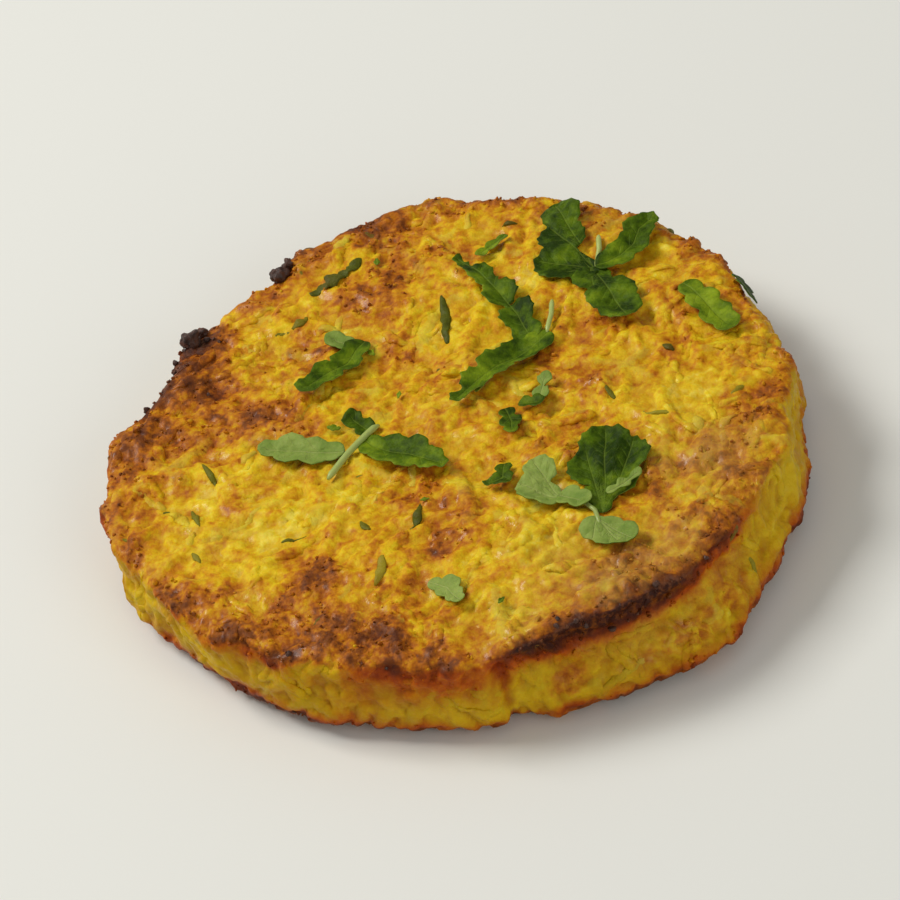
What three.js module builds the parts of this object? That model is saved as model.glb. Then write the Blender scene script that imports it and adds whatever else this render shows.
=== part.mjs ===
// A zucchini fritter: a thick, round, pan-fried patty of grated zucchini in egg batter.
//
// The patty lies on its flat fried underside. The origin is on the table under the middle of
// the patty's box, +Z is up and -Y is the front. Lengths are in millimetres. Angles are in
// degrees, counted anticlockwise from +X as seen from above.
//
// Its skin runs in rings: out over the browned face, down the side and in under the patty.

import * as THREE from "three";
import { mergeVertices } from "three/addons/utils/BufferGeometryUtils.js";
import { ImprovedNoise } from "three/addons/math/ImprovedNoise.js";

// Driving sizes of the patty.
const RIM_RADIUS = 42.0; // the browned face, out to its rim, without lumps and dents
const HEIGHT = 12.2; // the middle of the browned face above the table
const SLOPE = 1.6; // how much the face rises from its middle to its thick edge
const THICK_AT = -45; // the direction of the thick edge
const DOME = 0.5; // how much the face falls from its middle to its rim, on average
const SHOULDER = 2.6; // width of the rounding between face and side
const SHOULDER_DROP = 1.2; // how far the rim lies below the face beside it
const SHOULDER_TURN = 0.3; // where the shoulder turns down, as a share of its width and its drop
const LIP_TUCK = 0.1; // how far the side goes in under the crust's edge
const LIP_LEVEL = 0.8; // height of that place, as a share of the rim's height
const BELLY = 1.0; // how far the widest part of the side stands out from the rim
const BELLY_LEVEL = 0.36; // height of the widest part, as a share of the rim's height
const HEEL_LEVEL = 0.1; // height of the browned lower edge, as a share of the same
const HEEL_TUCK = 0.9; // how far that edge lies inside the belly
const FOOT_TUCK = 3.8; // how far the resting face lies inside the belly

// Batter that ran out of the round, or fell short of it: where, how far, half its width.
const OUTLINE_LUMPS = [
  { at: 180, out: 1.9, half: 14 },
  { at: 162, out: 1.2, half: 10 },
  { at: 148, out: -3.1, half: 9 },
  { at: 130, out: -1.9, half: 7 },
  { at: 131, out: 1.8, half: 2.6 },
  { at: 116, out: -1.0, half: 8 },
  { at: 109, out: 1.4, half: 2.2 },
  { at: 98, out: 1.0, half: 6 },
  { at: 85, out: 2.4, half: 8 },
  { at: 70, out: 0.7, half: 9 },
  { at: 30, out: 0.4, half: 8 },
  { at: 14, out: -1.0, half: 11 },
  { at: -26, out: 0.8, half: 9 },
  { at: -60, out: 1.2, half: 13 },
  { at: -93, out: 0.3, half: 6 },
  { at: -118, out: -0.9, half: 9 },
  { at: -145, out: 0.4, half: 10 },
];

// The same for the lower side, where soft batter bulged as the patty was pressed.
const BELLY_LUMPS = [
  { at: 140, out: 0.5, half: 12 },
  { at: 84, out: -0.9, half: 16 },
  { at: 24, out: 0.6, half: 16 },
  { at: -8, out: -0.3, half: 10 },
  { at: -60, out: 2.7, half: 22 },
  { at: -90, out: -1.5, half: 3 },
  { at: -105, out: -0.6, half: 8 },
  { at: -143, out: -1.4, half: 20 },
  { at: 176, out: -1.2, half: 14 },
];

// Where the side goes in deeper, or less deep, under the crust's edge.
const LIP_LUMPS = [
  { at: 152, out: 0.5, half: 15 },
  { at: 96, out: 0.4, half: 16 },
  { at: 50, out: -0.3, half: 18 },
  { at: 4, out: 0.4, half: 16 },
  { at: -30, out: -0.2, half: 14 },
  { at: -68, out: 0.7, half: 18 },
  { at: -128, out: -0.5, half: 22 },
  { at: -174, out: 0.3, half: 14 },
];

// Folds of crust that stand up just inside the rim: where, how high, half their length.
const FOLDS = [
  { at: -69, up: 0.9, half: 15 },
  { at: 148, up: 0.6, half: 12 },
  { at: 96, up: 0.4, half: 10 },
  { at: -20, up: 0.4, half: 12 },
];
const FOLD_INSET = 2.9; // from the rim to a fold's crest
const FOLD_WIDTH = 2.0; // from a fold's crest to where it has died out

// The lumpy relief: each layer's amplitude and the size of its lumps.
const FACE_RELIEF = [
  { amplitude: 0.8, size: 15 },
  { amplitude: 0.6, size: 5.5 },
  { amplitude: 0.35, size: 2.9 },
];
const SIDE_RELIEF = [
  { amplitude: 1.0, size: 11 },
  { amplitude: 0.9, size: 5 },
];
const LAYER_SHIFT = 7.3; // keeps the layers apart in the noise
const SIDE_ONSET = 0.7; // how soon the side's lumps begin below the shoulder, 0 for at once

// How finely the skin is divided.
const AROUND = 160; // points round the rim
const SPACING = 1.65; // between points on the browned face
const SIDE_RINGS = 12; // from shoulder to foot
const UNDER_RINGS = [0.66, 0.33]; // shares of the foot's radius
const UNDER_POINTS = [48, 16]; // points in each of those rings

const noise = new ImprovedNoise();
const radians = THREE.MathUtils.degToRad;

// 1 at the middle of a bell and nearly 0 beyond twice its half-width.
function bell(distance, half) {
  return Math.exp(-((distance / half) ** 2));
}

// The smaller angle between two directions.
function between(a, b) {
  return Math.abs(THREE.MathUtils.euclideanModulo(a - b + 180, 360) - 180);
}

function lumps(list, angle) {
  return list.reduce((sum, { at, out, half }) => sum + out * bell(between(angle, at), half), 0);
}

function relief(layers, point) {
  return layers.reduce((sum, { amplitude, size }, layer) => {
    const value = noise.noise(point.x / size, point.y / size, point.z / size + layer * LAYER_SHIFT);
    return sum + amplitude * value;
  }, 0);
}

function rimRadius(angle) {
  return RIM_RADIUS + lumps(OUTLINE_LUMPS, angle);
}

function folds(angle, inset) {
  const across = bell(inset - FOLD_INSET, FOLD_WIDTH / 2);
  return FOLDS.reduce((sum, { at, up, half }) => sum + up * bell(between(angle, at), half), 0) * across;
}

// Height of the browned face at a share of the way from its middle to its shoulder.
function faceHeight(angle, share) {
  const reach = (rimRadius(angle) - SHOULDER) * share;
  const [x, y] = [reach * Math.cos(radians(angle)), reach * Math.sin(radians(angle))];
  const slope = (SLOPE * reach * Math.cos(radians(angle - THICK_AT))) / RIM_RADIUS;
  const inset = rimRadius(angle) - reach;
  const level = HEIGHT + slope - DOME * share ** 3 + folds(angle, inset);
  return level + relief(FACE_RELIEF, { x, y, z: 0 });
}

function around(angle, radius, z) {
  return new THREE.Vector3(radius * Math.cos(radians(angle)), radius * Math.sin(radians(angle)), z);
}

// The side's outline from shoulder to foot in one direction, as radius and height.
function sideCurve(angle) {
  const rim = rimRadius(angle);
  const top = faceHeight(angle, 1);
  const rimHeight = top - SHOULDER_DROP;
  const belly = rim + BELLY + lumps(BELLY_LUMPS, angle);
  const neck = rim - LIP_TUCK - lumps(LIP_LUMPS, angle);
  return new THREE.SplineCurve([
    new THREE.Vector2(rim - SHOULDER, top),
    new THREE.Vector2(rim - SHOULDER * SHOULDER_TURN, top - SHOULDER_DROP * SHOULDER_TURN),
    new THREE.Vector2(rim, rimHeight),
    new THREE.Vector2(neck, rimHeight * LIP_LEVEL),
    new THREE.Vector2(belly, rimHeight * BELLY_LEVEL),
    new THREE.Vector2(belly - HEEL_TUCK, rimHeight * HEEL_LEVEL),
    new THREE.Vector2(belly - FOOT_TUCK, 0),
  ]);
}

function ringOf(count, pointAt) {
  return Array.from({ length: count }, (_, i) => pointAt((360 * i) / count));
}

function faceRings() {
  const rings = Math.round((RIM_RADIUS - SHOULDER) / SPACING);
  return Array.from({ length: rings - 1 }, (_, k) => {
    const share = (k + 1) / rings;
    const radius = (RIM_RADIUS - SHOULDER) * share;
    const count = Math.min(AROUND, Math.max(6, Math.round((2 * Math.PI * radius) / SPACING)));
    return ringOf(count, (angle) => {
      return around(angle, (rimRadius(angle) - SHOULDER) * share, faceHeight(angle, share));
    });
  });
}

// The shoulder and foot keep their places, and the rings between them are lumpy.
function sideRings() {
  return Array.from({ length: SIDE_RINGS + 1 }, (_, k) => {
    const share = k / SIDE_RINGS;
    const lumpy = Math.sin(Math.PI * share) ** SIDE_ONSET;
    return ringOf(AROUND, (angle) => {
      const { x: radius, y: height } = sideCurve(angle).getPoint(share);
      const push = relief(SIDE_RELIEF, around(angle, radius, height)) * lumpy;
      return around(angle, radius + push, Math.max(0, height));
    });
  });
}

function underRings() {
  return UNDER_RINGS.map((share, k) => {
    return ringOf(UNDER_POINTS[k], (angle) => around(angle, sideCurve(angle).getPoint(1).x * share, 0));
  });
}

// Triangles between two neighbouring rings that may have different numbers of points.
// Both rings start at angle 0, and the first is the one nearer the middle of the face.
function zip(triangles, first, second) {
  let [i, j] = [0, 0];
  while (i < first.length || j < second.length) {
    const a = first[i % first.length];
    const b = second[j % second.length];
    if (j === second.length || (i < first.length && (i + 1) / first.length <= (j + 1) / second.length)) {
      triangles.push(a, b, first[(i + 1) % first.length]);
      i += 1;
    } else {
      triangles.push(a, b, second[(j + 1) % second.length]);
      j += 1;
    }
  }
}

function pattyGeometry() {
  const top = new THREE.Vector3(0, 0, faceHeight(0, 0));
  const bottom = new THREE.Vector3(0, 0, 0);
  const rings = [[top], ...faceRings(), ...sideRings(), ...underRings(), [bottom]];
  const positions = rings.flat().flatMap((point) => point.toArray());
  const triangles = [];
  let start = 0;
  const numbered = rings.map((ring) => ring.map(() => start++));
  for (let k = 0; k + 1 < numbered.length; k += 1) {
    zip(triangles, numbered[k], numbered[k + 1]);
  }
  const geometry = new THREE.BufferGeometry();
  geometry.setAttribute("position", new THREE.Float32BufferAttribute(positions, 3));
  geometry.setIndex(triangles);
  const merged = mergeVertices(geometry);
  merged.computeBoundingBox();
  const middle = merged.boundingBox.getCenter(new THREE.Vector3());
  merged.translate(-middle.x, -middle.y, 0);
  merged.computeVertexNormals();
  return merged;
}

function makeFritter() {
  const crust = new THREE.MeshStandardMaterial({ color: 0xcf9c2d, roughness: 0.6, metalness: 0 });
  const fritter = new THREE.Mesh(pattyGeometry(), crust);
  fritter.name = "fritter";
  return fritter;
}

const part = new THREE.Group();
part.add(makeFritter());

export default part;
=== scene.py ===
"""The looks of a pan-fried zucchini fritter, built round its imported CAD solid.

The solid is copied, divided finely and covered with the relief of shreds and batter. Then come
loose shreds, strips of green skin, crumbs, burnt lumps and the parsley on top. Lengths in the
tables and in the shaping code are in millimetres; metres appear where Blender needs them.
"""

import itertools
import math
from typing import NamedTuple

import bmesh
import bpy
import numpy as np
from mathutils import Matrix, Vector
from mathutils.bvhtree import BVHTree
from mathutils.geometry import delaunay_2d_cdt
from mathutils.kdtree import KDTree


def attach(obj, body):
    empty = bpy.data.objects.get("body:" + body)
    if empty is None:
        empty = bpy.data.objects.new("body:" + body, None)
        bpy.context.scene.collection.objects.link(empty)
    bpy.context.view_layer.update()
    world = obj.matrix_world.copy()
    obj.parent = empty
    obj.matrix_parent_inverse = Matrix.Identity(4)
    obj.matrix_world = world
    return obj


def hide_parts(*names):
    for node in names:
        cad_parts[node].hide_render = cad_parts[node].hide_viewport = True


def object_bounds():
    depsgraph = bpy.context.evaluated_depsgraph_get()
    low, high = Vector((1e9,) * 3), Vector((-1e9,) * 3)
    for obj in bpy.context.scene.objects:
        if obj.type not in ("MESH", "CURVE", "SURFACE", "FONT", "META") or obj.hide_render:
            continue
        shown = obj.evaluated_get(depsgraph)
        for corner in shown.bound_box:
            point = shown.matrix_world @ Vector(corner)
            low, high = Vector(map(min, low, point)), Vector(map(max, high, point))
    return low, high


MM = 0.001
BODY = "root"
SOLID = "fritter"

# The camera: how steeply it looks down on the patty, how far it is turned about its own
# line of sight, how far away it stands and the width of what it sees there.
CAMERA_ELEVATION = 42.2
CAMERA_ROLL = 14.3
CAMERA_DISTANCE = 750
CAMERA_FIELD = 110.6

# The studio: the even light of the room, and the softboxes with place and size in metres and power.
WORLD_STRENGTH = 0.34
WORLD_COLOUR = (1.0, 1.0, 0.97, 1.0)
LIGHT_COLOUR = (1.0, 0.985, 0.94)
SOFTBOXES = [
    ("key", (-0.62, 0.40, 0.80), 0.45, 8.8),
    ("fill", (0.45, -0.80, 0.50), 0.6, 2.4),
]

# The fine skin of the patty.
VOXEL = 0.42
SMOOTHING = (0.6, -0.62) * 10  # each pull draws the points together, the next lets them out
RIM_BINS = 90
RIM_BAND = 3  # the edge's height is taken this near to the rim
RIM_SHARE = 0.6  # and the rim's radius above this share of the patty's height
UNDERSIDE = -0.6  # a normal that points down more than this belongs to the underside

# Its relief: how far each kind of detail stands out or goes in.
SHRED_SHARE = 0.9  # of the lift of the shreds that lie under the skin
GRAIN_SPACING = 1.5
GRAIN_HEIGHT = 0.24
CRACK_DEPTH = 0.12
PIT_SPACING = 3.4
PIT_DEPTH = 0.4
SKIN_SINK = 0.25  # draws the whole skin in, so that its relief stays about the solid's surface
UNDERSIDE_SHARE = 0.7  # of the relief is left on the underside, where all of it goes in

# How dark the batter is fried before blotches and patches, from 0 to 1, and its browner bands.
FACE_BROWN = 0.27
UNDER_BROWN = 0.22  # added to the face's on the underside
SIDE_BROWN = 0.17
RIM_RING = (1.0, 3.2)  # on the face: the inset of its middle and its half width
HEEL = (0.04, 0.13)  # low on the side, browning and painted contact shadow: the level of its middle and its half width
BROW = (0.58, 0.95)  # high on the side: the levels where it begins and is full

# Grated zucchini held in the batter.
SHREDS = 1400
SHRED_LENGTH = (4.0, 12.0)
SHRED_RADIUS = (0.5, 1.05)
SHRED_LEVEL = (-0.35, 0.1)  # of its middle, above the skin
SHRED_STEP = 0.45
SHRED_WANDER = 0.16
SHRED_RISE = 0.75  # height of a shred's relief as a share of its radius

# Grated zucchini that shows on top of the crust, as flattened strands.
LOOSE_SHREDS = 300
LOOSE_LENGTH = (3.0, 11.0)
LOOSE_WIDTH = (0.9, 1.5)
LOOSE_FLATNESS = (0.35, 0.55)  # thickness as a share of the width
LOOSE_SUNK = (0.65, 0.95)  # how much of the thickness lies in the crust
STRAND_SIDES = 8

# Crumbs of fried batter on the crust, and burnt ones on its darkest places.
CRUMBS = 1100
CRUMB_RADIUS = (0.18, 0.42)
CRUMB_STAND = (-0.25, 0.45)  # how far its middle stands off the crust, as a share of its radius
CRISP = 0.34  # crumbs lie where the crust is browner than this
BURNT_CRUMBS = 26
BURNT_RADIUS = (0.2, 0.55)
BURNT_STAND = (-0.3, 0.3)
SCORCHED = 0.62  # and burnt ones where it is browner than this
LOOSE_LIFT = 0.3  # crumbs and loose shreds are coloured as crust that stands out this far, which keeps the painted shade of hollows off them

# Scorched places on the face: x, y, radius and how dark.
SCORCHES = [
    # Left, under the burnt lumps.
    (-36, 12.9, 4, 0.2), (-34.2, 9.6, 3, 0.1), (-32, 13.8, 4.5, 0.15), (-30.5, 21.8, 4, 0.4),
    (-27, 27, 3.2, 0.34), (-24.6, 28.1, 2.4, 0.22), (-28.6, 9.3, 3.5, 0.12),
    (-25.8, 17.3, 3, 0.18), (-23.2, 19.7, 3, 0.16), (-22.4, 11.2, 2.5, 0.2),
    (-18.5, 10.6, 2.5, 0.12), (-14.4, 20.6, 3, 0.12),
    # Back.
    (-17, 37, 2.5, 0.14), (-2.2, 38.6, 3, 0.36), (4, 40, 3.8, 0.22), (-10, 37, 3, 0.06),
    (-2.6, 33.9, 3.5, 0.07), (-16, 34.5, 3, 0.08), (-4.9, 25.4, 3, 0.16), (0, 29.1, 3, 0.12),
    (33.2, 23.5, 3.5, 0.1), (35.8, 18.1, 3, 0.12),
    # Front left.
    (-37, -17.5, 3, 0.14), (-31.5, -22, 3, 0.06), (-30.2, -19.1, 2.2, 0.18),
    (-30, -27.2, 2.8, 0.24), (-18, -20.8, 2.4, 0.2), (-21.1, -22.3, 2.6, 0.28),
    (-25, -25.4, 2.8, 0.24), (-23.9, -31, 2.4, 0.26), (-18.8, -30.8, 3, 0.18),
    (-15.9, -32.4, 3, 0.16), (-12.9, -33.2, 2.8, 0.18), (-11.4, -35.7, 1.8, 0.26),
    (-19.1, -37, 3, 0.1), (-7.5, -38.6, 3, 0.18), (-9, -26.8, 2.2, 0.28),
    # Middle.
    (-5.2, -23.1, 2.2, 0.2), (-2, -20.5, 2.6, 0.2), (-7.1, -10.8, 1.8, 0.14),
    (-4, -11.2, 1.8, 0.2), (-17, 4, 4.5, 0.06), (-4, 10, 4.5, 0.07), (14.5, 6.6, 2.4, 0.22),
    (17.7, 0.7, 3, 0.03), (10.8, -10.4, 1.2, 0.25), (8.1, -22, 2.4, 0.14),
    (3.4, -15.7, 2.4, 0.1),
    # Right.
    (23, -23.5, 3.8, 0.14), (26, -28.5, 3.5, 0.13), (21, -34, 3.5, 0.11), (17, -34.5, 3, 0.05),
    (35, -11, 3, 0.07), (33.5, -16, 3.5, 0.06), (13, -33.6, 2.6, 0.16), (8.3, -34.9, 2.4, 0.1),
    (33.5, -22, 3.5, 0.1),
]

# Charred stretches of the rim: angle, half its length in degrees, inset, half width and darkness.
CHARRED = [
    (-86, 3.2, 0, 1.2, 0.34), (-97, 5, 0.6, 1.4, 0.1), (-77, 6, -0.1, 1.3, 0.48),
    (-75, 9, 1.7, 0.9, 0.2), (-66, 6, 0, 1.4, 0.46), (-57, 5, 0.2, 1.2, 0.2),
    (-49.5, 2.5, 0.2, 1.5, 0.26), (-100, 9, 0.8, 1.8, 0.12), (-108.8, 1.5, 0.5, 1, 0.42),
    (-130, 1.6, 0.4, 1, 0.38), (-126, 5, 0.8, 2, 0.1), (-137, 7, 0.8, 2, 0.14),
    (-147, 7, 0.8, 2, 0.2), (-163, 8, 0.8, 2, 0.06), (152, 6, 0, 1, 0.34),
    (144, 5, 0.2, 1.2, 0.44), (134, 4, 0.6, 1.8, 0.6), (111, 3, 0.4, 1.3, 0.4),
    (95, 3, 0.9, 1.1, 0.3), (28, 12, 0.8, 1.3, 0.1),
]

# Places on the side, browner or paler than the rest, some of them painted light and shade: angle, half
# its length in degrees, height as a share of the rim's, half of that extent and how much darker.
SIDE_PATCHES_AND_PAINTED_LIGHT = [
    # The first three pale the right of the side: partly paler batter, mostly painted light.
    (-20, 12, 0.8, 0.24, -0.18), (-35, 10, 0.7, 0.25, -0.14), (-56, 15, 0.5, 0.16, -0.16),
    (-80, 8, 0.45, 0.16, -0.1), (-63, 12, 0.8, 0.16, 0.15), (-80, 11, 0.86, 0.16, 0.28),
    (-90.5, 0.9, 0.5, 0.34, 0.15), (-98, 8, 0.74, 0.22, 0.16), (-110, 10, 0.68, 0.2, 0.12),
    (-103, 16, 0.36, 0.12, -0.08), (-118, 14, 0.88, 0.14, -0.08), (-149, 14, 0.88, 0.14, -0.08),
    # From (-28, ...) on, the low bands darken the foot: browning and painted contact shadow.
    (-152, 14, 0.6, 0.35, -0.09), (-28, 10, 0.18, 0.16, 0.18), (-52, 7, 0.14, 0.14, 0.22),
    (-82, 3, 0.15, 0.15, 0.16), (-104, 3, 0.15, 0.15, 0.18), (-38, 25, 0.15, 0.18, 0.17),
    (-124, 10, 0.14, 0.16, 0.26), (-137, 12, 0.14, 0.2, 0.3), (-155, 10, 0.14, 0.18, 0.28),
]

# The split in the front of the side: its angle, half its width in degrees and its depth.
SPLIT = (-90.5, 0.8, 0.75)

# Places that stayed soft and yellow: x, y, radius and how pale.
PALE_PATCHES = [
    (-20, -9, 8, 0.2), (-41, 0, 5, 0.07), (-40, -8, 4, 0.05), (41, -7, 5, 0.11),
    (41, 10, 3.5, 0.1), (9.4, -30, 4, 0.14), (3, -38.3, 3.5, 0.14), (28.4, -21, 2.2, 0.08),
    (-33, -2, 4, 0.06), (-12, -12.5, 6, 0.12), (-20, 30, 4, 0.12), (5, -29, 8, 0.1),
    (27, -9, 6, 0.12), (-8, 9, 6, 0.1), (6, 18, 6, 0.05), (6, -17, 5, 0.05), (20, 6, 4.5, 0.08),
    (22.2, -15.5, 3, 0.05), (-7, -8.4, 2.2, 0.1),
]

# Places where the crust is dry and dull: x, y, radius and how dull.
DULL_PATCHES = [
    (14.5, -37, 5, 0.7), (22, -32, 5, 0.5), (4, -38, 4, 0.3), (9.4, -30, 4.5, 0.3),
    (30, -19, 6, 0.5),
]

# Burnt lumps that stand out at the rim: x, y, radius.
BURNT_LUMPS = [
    (-28.7, 29.3, 1.4), (-27.5, 30.1, 0.9), (-29.4, 28.4, 0.8), (-31.6, 25.6, 0.5),
    (-15.5, 36.7, 1.25), (-14.6, 37, 0.7),
]
LUMP_LEVEL = 12.0  # the height near which their places on the crust are looked for
LUMP_STAND = 0.35

# Strips of green zucchini skin in the crust: x and y of both ends, width and how green.
SKIN_STRIPS = [
    (-5, 34.7, -11.3, 27.6, 2, 1), (-13.4, 26.9, -15.4, 24.2, 1.8, 0.7),
    (3.7, 22.8, 4, 13.8, 1.3, 1), (-5.1, -13.6, -6.9, -19.2, 1.2, 1),
    (-29.9, 4.1, -29.3, -0.6, 1, 0.8), (-32.4, -3.1, -31.7, -7.5, 1.1, 0.7),
    (13.4, 34.2, 15.7, 33, 1, 0.95), (-11, -21.5, -12.3, -26.6, 1.6, 0.25),
    (-12.6, -13.8, -12, -16.2, 1.2, 0.8), (28.5, 2.8, 29.5, 1.5, 1.4, 1),
    (20.3, -2.2, 21.1, -4.9, 1.2, 0.8), (-33.4, -11.2, -32.4, -13.3, 1.2, 0.5),
]
STRIP_FORM = {"thickness": 0.5, "sunk": 0.12, "ragged": 0.3, "pointed": 2.5}
RANDOM_STRIPS = 22
RANDOM_STRIP_LENGTH = (1.5, 6.0)
RANDOM_STRIP_WIDTH = (0.5, 1.0)
RANDOM_STRIP_FORM = {"thickness": 0.4, "sunk": 0.25, "ragged": 0.4, "pointed": 2.0}


class Leaf(NamedTuple):
    """A piece of parsley leaf, as the rounds that cover it. Its veins start at its base."""

    base: tuple  # x, y
    rounds: tuple  # x, y, radius of each
    fan: bool = False  # veins run straight from the base to every round
    under: bool = False  # the pale underside lies up
    light: float = 0.3  # how bright a green
    teeth: float = 0.22  # depth of its teeth
    rise: float = 0.5  # how far its far end stands off the crust
    cup: float = 0.16  # how steeply its halves stand up from its middle vein
    lift: float = 0.0  # how far above the crust it lies, on top of another


LEAVES = [
    # The cluster of three at the back, and a slender one beside it.
    Leaf((23, 20.3), ((20.9, 31.2, 2.6), (20.2, 27, 3.1), (19, 22.3, 3.2), (21.6, 20.4, 2.3)), fan=True,
         light=0.15, teeth=0.28),
    Leaf((22.6, 21), ((22.4, 18, 2.6), (24.2, 13.6, 3.3), (24.7, 10.9, 2.8)), fan=True, cup=0.14),
    Leaf((23.5, 20.4), ((24.7, 20.4, 1.6), (26.6, 21, 2), (28.6, 22.4, 2.1), (29.8, 24.8, 2.1),
         (31.2, 25.8, 1.3)), light=0.38, cup=0.2, lift=0.1),
    Leaf((14, 31.6), ((13, 30.9, 0.8), (11.6, 30.1, 1.1), (10, 28.8, 0.9)), light=0.75, teeth=0.1),
    # The bent one before it.
    Leaf((13.8, 10.4), ((12.9, 11.9, 2.1), (12.3, 15.4, 2.3), (10.9, 19.9, 2.2), (9.1, 24.4, 1.7),
         (6.9, 28.2, 0.7)), light=0.28, teeth=0.35, cup=0.34),
    Leaf((15.3, 10.3), ((13.9, 9.2, 2.2), (11.2, 7.9, 2.7), (8.2, 6.2, 2.5), (5.2, 4.2, 2),
         (2.4, 2, 1)), light=0.42, teeth=0.42, cup=0.36),
    # Left of the middle.
    Leaf((-7, 18.2), ((-8, 17.1, 1.8), (-9.7, 14.8, 2), (-12.4, 12.9, 2.1), (-15, 11.3, 1.7)),
         light=0.42, cup=0.28),
    Leaf((-8.4, 17.8), ((-9.3, 18.6, 1.3), (-10.5, 19.6, 1.4)), under=True, light=0.45, teeth=0.1),
    Leaf((-12.8, -1.2), ((-14, -0.8, 1.6), (-16.3, -0.1, 2.2), (-18.9, 1.1, 2.3), (-21.4, 2.1, 1.5)),
         under=True, light=0.5, teeth=0.14, cup=0.18),
    Leaf((-9.7, -0.3), ((-9.1, -1.5, 1.8), (-7.2, -3.3, 2.6), (-4.9, -5.2, 2.6), (-2.7, -7.5, 1.9),
         (-1.4, -8.8, 0.9)), light=0.45, teeth=0.16, cup=0.28),
    Leaf((-9.2, 0.8), ((-9.4, 2, 1.4), (-10.6, 3.7, 1.3)), light=0.15),
    # The fan right of the middle, its turned-up edge and the pale pieces round it.
    Leaf((15.8, -25), ((16, -23.8, 1.4), (16.2, -21.4, 2.1), (15.8, -16.6, 2.9), (18.2, -13.9, 3.3),
         (20.5, -16.4, 2.8), (18.7, -19.7, 2.5)), fan=True, light=0.2, teeth=0.3),
    Leaf((16.6, -22.4), ((17.5, -22, 0.7), (19.2, -21.3, 0.9), (20.9, -20.3, 0.7)), under=True,
         teeth=0.06, rise=0.3, cup=0.3, lift=0.8),
    Leaf((11.3, -19.8), ((9.9, -15.2, 2), (8.6, -17.7, 2.2), (10, -19, 1.9)), fan=True, under=True,
         light=0.6),
    Leaf((11.4, -19.4), ((12.3, -20.3, 1.6), (13.6, -22, 1.5)), under=True, light=0.45, teeth=0.08),
    Leaf((14.9, -25.9), ((14.4, -27.3, 1.9), (15.9, -28.4, 2.3), (17.4, -29.3, 2)), fan=True,
         under=True, light=0.45, teeth=0.12),
    Leaf((6, -11.5), ((5.7, -12.5, 1.1), (5.3, -14.4, 1.3), (3.5, -14.4, 0.6)), light=0.1),
    # On the right.
    Leaf((33, 12.6), ((33.8, 11.3, 1.7), (34.8, 8.5, 2.2), (35.9, 5.5, 2.2), (36.8, 3, 1.7)),
         light=0.65, teeth=0.12, cup=0.2),
    Leaf((39.6, 13.5), ((39.8, 12.3, 0.7), (40.3, 10.8, 0.8), (40.8, 9.2, 0.6)), light=0.1),
    # Small pieces.
    Leaf((7.7, -1), ((7.9, -2.3, 1.1), (8.1, -4.8, 1.4), (7.9, -6.3, 0.9)), light=0.25),
    Leaf((9.3, -1.1), ((10.3, -1.4, 1), (11.7, -2, 1))),
    Leaf((11.9, -1.2), ((12.5, -0.4, 1.1), (13.4, 1.5, 1)), under=True, light=0.4),
    Leaf((-6.4, -27.7), ((-5.7, -28.3, 0.9), (-4.3, -29.8, 1.6), (-3.8, -31.7, 1.2),
         (-3.4, -32.8, 0.8)), under=True, light=0.8, teeth=0.1),
]

# Pieces of parsley stalk: points along each, radius and how bright.
STALKS = [
    (((24.7, 25.6), (24.3, 23.0), (23.3, 20.2)), 0.36, 0.9),
    (((-7.7, 2.0), (-10.8, -0.6), (-15.3, -5.2)), 0.44, 0.7),
    (((16.9, 16.2), (16.3, 13.4), (15.2, 10.3)), 0.34, 0.8),
    (((13.6, -21.6), (15.0, -24.4), (15.1, -27.0)), 0.30, 0.45),
]
HERB_FLECKS = 8
FLECK_SIZE = (0.3, 0.6)
FLECK_REACH = 37.0  # how far from the middle of the face they lie

# How leaves are made, and the sheet over the crust that they lie on.
OUTLINE_RAYS = 260
LEAF_STEP = 0.24
LEAF_THICKNESS = 0.13
LEAF_GAP = 0.10
LEAF_WAVE = 0.42  # height of a leaf's waves
LEAF_MOTTLE = 0.34  # how much its green differs from place to place
OUTLINE_WOBBLE = 0.15
TOOTH_LENGTH = 1.6
SIDE_VEIN_GAP = 1.6
SIDE_VEIN_LENGTH = 1.9
SIDE_VEIN_TURN = 0.75  # in radians, from the main vein
DIP_SOFTNESS = 0.15  # how softly a leaf that dips is held up by the sheet
VEIN_PUFF = 0.26  # how far the leaf stands up between its veins
VEIN_WIDTH = 0.45  # how far from a vein it has risen most of the way
STALK_STEP = 0.4
STALK_GAP = 0.15
STALK_FLATNESS = 1.8  # thickness as a share of the radius, where 2 is round
STALK_SUNK = 0.1
COVER_REACH = 47.0
COVER_CELL = 0.5
COVER_SPREAD = 2  # how many cells each height spreads to its sides
COVER_SMOOTHING = 4  # how many times the heights are averaged after that
SKY = 60.0  # a height from which rays fall on the patty


# ---------------- noise and small helpers


def srgb(red, green, blue):
    """A colour given as seen on a screen, 0 to 255, as the linear colour that shaders take."""
    shares = np.array([red, green, blue]) / 255
    linear = np.where(shares <= 0.04045, shares / 12.92, ((shares + 0.055) / 1.055) ** 2.4)
    return (*map(float, linear), 1.0)


def hashed(lattice, seed):
    """A repeatable number from 0 to 1 for each row of three whole numbers."""
    mixed = (lattice * np.array([73856093, 19349663, 83492791])).sum(-1) + seed * 62713
    mixed = mixed.astype(np.uint64) & np.uint64(0xFFFFFFFF)
    for factor, shift in ((2654435761, 15), (2246822519, 13), (3266489917, 16)):
        mixed = (mixed ^ (mixed >> np.uint64(shift))) * np.uint64(factor) & np.uint64(0xFFFFFFFF)
    return (mixed ^ (mixed >> np.uint64(15))).astype(float) / 0xFFFFFFFF


def noise(points, size, seed):
    """Smooth noise from -1 to 1 whose lumps have that size."""
    scaled = points / size + 31.7
    base = np.floor(scaled).astype(np.int64)
    share = scaled - base
    share = share**3 * (share * (share * 6 - 15) + 10)
    total = np.zeros(len(points))
    for corner in itertools.product((0, 1), repeat=3):
        weight = np.prod(np.where(corner, share, 1 - share), axis=1)
        total += weight * hashed(base + np.array(corner), seed)
    return total * 2 - 1


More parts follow.
